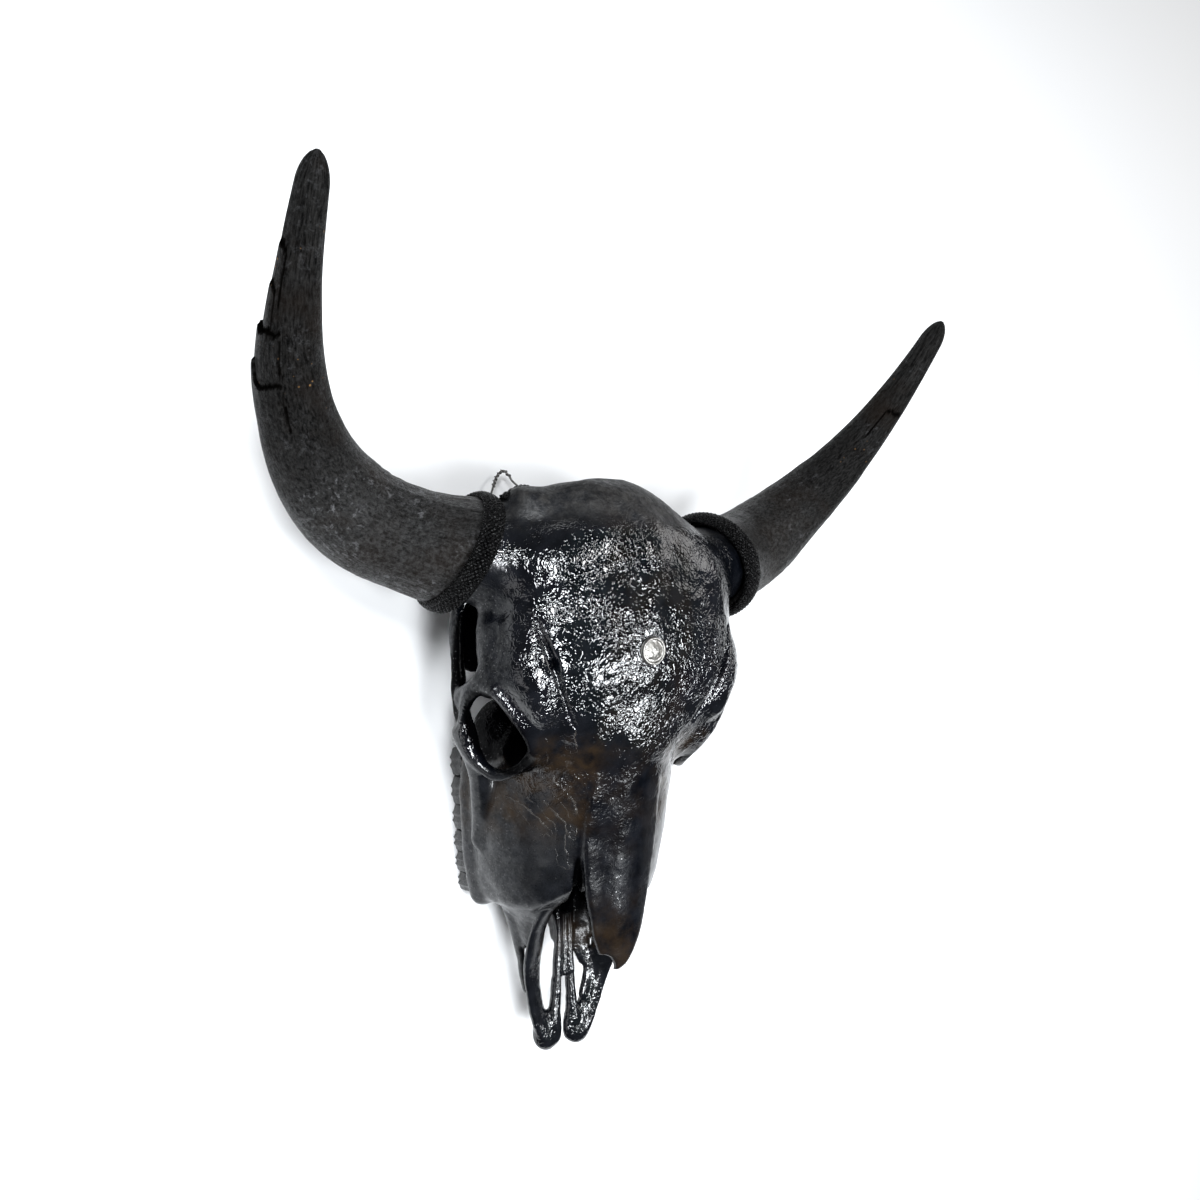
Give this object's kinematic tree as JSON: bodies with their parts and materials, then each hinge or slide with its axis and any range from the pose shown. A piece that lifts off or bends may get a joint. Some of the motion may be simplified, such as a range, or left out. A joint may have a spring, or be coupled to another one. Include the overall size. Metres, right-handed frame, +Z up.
{
  "type": "bison skull",
  "caption": "Dried bison skull painted gloss black, with natural horn sheaths, braided cord round the horn bases and a round metal stud on the forehead.",
  "frame": {"origin": "on the ground plane, in the middle of the overall box", "axes": "+Z up through the forehead, +Y from the nose towards the crest and the horn tips, +X to the animal's left"},
  "size_m": [0.6496, 0.6934, 0.3148],
  "materials": {
    "bone_paint": "gloss black paint on bone, wrinkled on the forehead",
    "horn": "dry, matt, weathered horn keratin with cracks and flaking layers",
    "cord": "matt black braided cord",
    "stud": "worn silver metal with a raised rim",
    "wire": "bare steel wire",
    "tooth_paint": "black paint on the cheek teeth"
  },
  "bodies": {
    "root": {"skull": "bone_paint", "horn_left": "horn", "horn_right": "horn", "cord_left": "cord", "cord_right": "cord", "cord_tail": "cord", "forehead_stud": "stud", "hanging_wire": "wire", "tooth_left_1": "tooth_paint", "tooth_left_2": "tooth_paint", "tooth_left_3": "tooth_paint", "tooth_left_4": "tooth_paint", "tooth_left_5": "tooth_paint", "tooth_left_6": "tooth_paint", "tooth_right_1": "tooth_paint", "tooth_right_2": "tooth_paint", "tooth_right_3": "tooth_paint", "tooth_right_4": "tooth_paint", "tooth_right_5": "tooth_paint", "tooth_right_6": "tooth_paint"}
  },
  "joints": []
}
